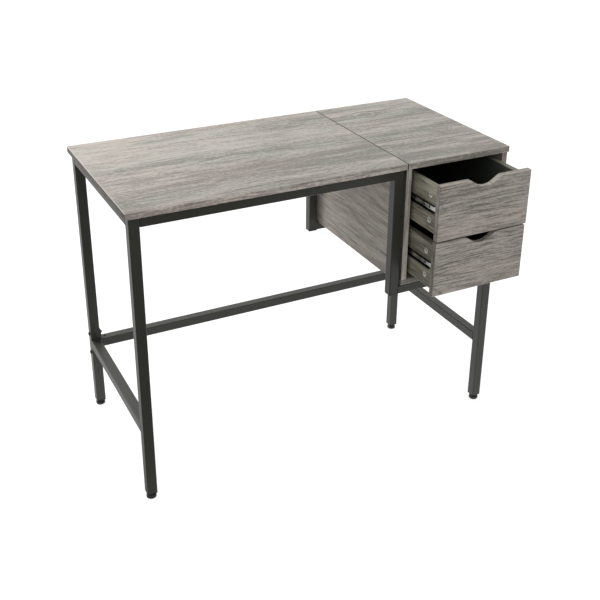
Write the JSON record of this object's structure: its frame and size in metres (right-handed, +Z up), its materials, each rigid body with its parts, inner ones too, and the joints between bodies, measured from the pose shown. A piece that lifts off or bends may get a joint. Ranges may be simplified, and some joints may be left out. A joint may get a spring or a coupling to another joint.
{
  "type": "work table with drawer cabinet",
  "caption": "Desk on a square-tube frame with a wood-grain top and, at the right, a hanging cabinet whose inset drawers with finger scoops run on ball slides; levelling feet",
  "frame": {"origin": "on the floor below the middle of the bounding box at rest, with the drawers partly open", "axes": "+X to the right along the width, +Y to the rear, +Z up"},
  "size_m": [1, 0.59, 0.755],
  "materials": {
    "frame_paint": "charcoal powder coat, fine texture",
    "top_board": "grey oak laminate, matt, grain along X",
    "front_board": "grey oak laminate, matt, grain along X",
    "carcass_board": "grey oak laminate, matt, grain along Y",
    "drawer_board": "grey oak laminate, matt, grain along Y",
    "hardboard": "thin painted fibreboard",
    "dowel_wood": "plain beech",
    "slide_steel": "zinc-plated rolled strip",
    "cage_steel": "zinc-plated strip with steel balls",
    "fitting_metal": "die-cast zinc",
    "bolt_steel": "black oxide",
    "screw_steel": "zinc plated",
    "black_plastic": "moulded, matt"
  },
  "bodies": {
    "desk": {"board_screws": "screw_steel", "cabinet_back": "hardboard", "cabinet_bottom": "carcass_board", "cabinet_dowels": "dowel_wood", "cabinet_left_panel": "carcass_board", "cabinet_right_panel": "carcass_board", "cabinet_slide_screws": "screw_steel", "cabinet_top": "top_board", "cabinet_tube_front": "frame_paint", "cabinet_tube_rear": "frame_paint", "front_top_rail": "frame_paint", "left_crossbar": "frame_paint", "left_top_rail": "frame_paint", "leg_front_left": "frame_paint", "leg_front_right": "frame_paint", "leg_inserts": "black_plastic", "leg_rear_left": "frame_paint", "leg_rear_right": "frame_paint", "lower_left_cabinet_member": "slide_steel", "lower_right_cabinet_member": "slide_steel", "main_top": "top_board", "middle_top_rail": "frame_paint", "rail_spigots": "frame_paint", "rear_stretcher": "frame_paint", "rear_top_rail": "frame_paint", "right_base_rail": "frame_paint", "right_crossbar": "frame_paint", "stretcher_bolts": "bolt_steel", "stretcher_end_plates": "frame_paint", "upper_left_cabinet_member": "slide_steel", "upper_right_cabinet_member": "slide_steel", "upright_end_caps": "black_plastic", "upright_front": "frame_paint", "upright_rear": "frame_paint"},
    "upper_drawer": {"upper_drawer_back": "drawer_board", "upper_drawer_bottom": "hardboard", "upper_drawer_cam_fittings": "fitting_metal", "upper_drawer_front": "front_board", "upper_drawer_left_side": "drawer_board", "upper_drawer_right_side": "drawer_board", "upper_drawer_screws": "screw_steel", "upper_left_drawer_member": "slide_steel", "upper_right_drawer_member": "slide_steel"},
    "upper_ball_cages": {"upper_left_ball_cage": "cage_steel", "upper_right_ball_cage": "cage_steel"},
    "lower_drawer": {"lower_drawer_back": "drawer_board", "lower_drawer_bottom": "hardboard", "lower_drawer_cam_fittings": "fitting_metal", "lower_drawer_front": "front_board", "lower_drawer_left_side": "drawer_board", "lower_drawer_right_side": "drawer_board", "lower_drawer_screws": "screw_steel", "lower_left_drawer_member": "slide_steel", "lower_right_drawer_member": "slide_steel"},
    "lower_ball_cages": {"lower_left_ball_cage": "cage_steel", "lower_right_ball_cage": "cage_steel"},
    "front_left_foot": {"foot_front_left": "black_plastic"},
    "front_right_foot": {"foot_front_right": "black_plastic"},
    "rear_left_foot": {"foot_rear_left": "black_plastic"},
    "rear_right_foot": {"foot_rear_right": "black_plastic"}
  },
  "joints": [
    {"name": "upper_drawer_slide", "type": "slide", "parent": "desk", "child": "upper_drawer", "axis": [0, -1, 0], "range_m": [-0.117, 0.133]},
    {"name": "upper_cage_slide", "type": "slide", "parent": "desk", "child": "upper_ball_cages", "axis": [0, -1, 0], "range_m": [-0.0585, 0.0665]},
    {"name": "lower_drawer_slide", "type": "slide", "parent": "desk", "child": "lower_drawer", "axis": [0, -1, 0], "range_m": [-0.114, 0.136]},
    {"name": "lower_cage_slide", "type": "slide", "parent": "desk", "child": "lower_ball_cages", "axis": [0, -1, 0], "range_m": [-0.057, 0.068]},
    {"name": "front_left_foot_turn", "type": "hinge", "parent": "desk", "child": "front_left_foot", "pos_m": [-0.4795, -0.1655, 0], "axis": [0, 0, 1], "continuous": true},
    {"name": "front_right_foot_turn", "type": "hinge", "parent": "desk", "child": "front_right_foot", "pos_m": [0.4755, -0.1655, 0], "axis": [0, 0, 1], "continuous": true},
    {"name": "rear_left_foot_turn", "type": "hinge", "parent": "desk", "child": "rear_left_foot", "pos_m": [-0.4795, 0.2755, 0], "axis": [0, 0, 1], "continuous": true},
    {"name": "rear_right_foot_turn", "type": "hinge", "parent": "desk", "child": "rear_right_foot", "pos_m": [0.4755, 0.2755, 0], "axis": [0, 0, 1], "continuous": true}
  ],
  "couplings": [
    {"joint": "upper_cage_slide", "follows": "upper_drawer_slide", "ratio": 0.5},
    {"joint": "lower_cage_slide", "follows": "lower_drawer_slide", "ratio": 0.5}
  ]
}
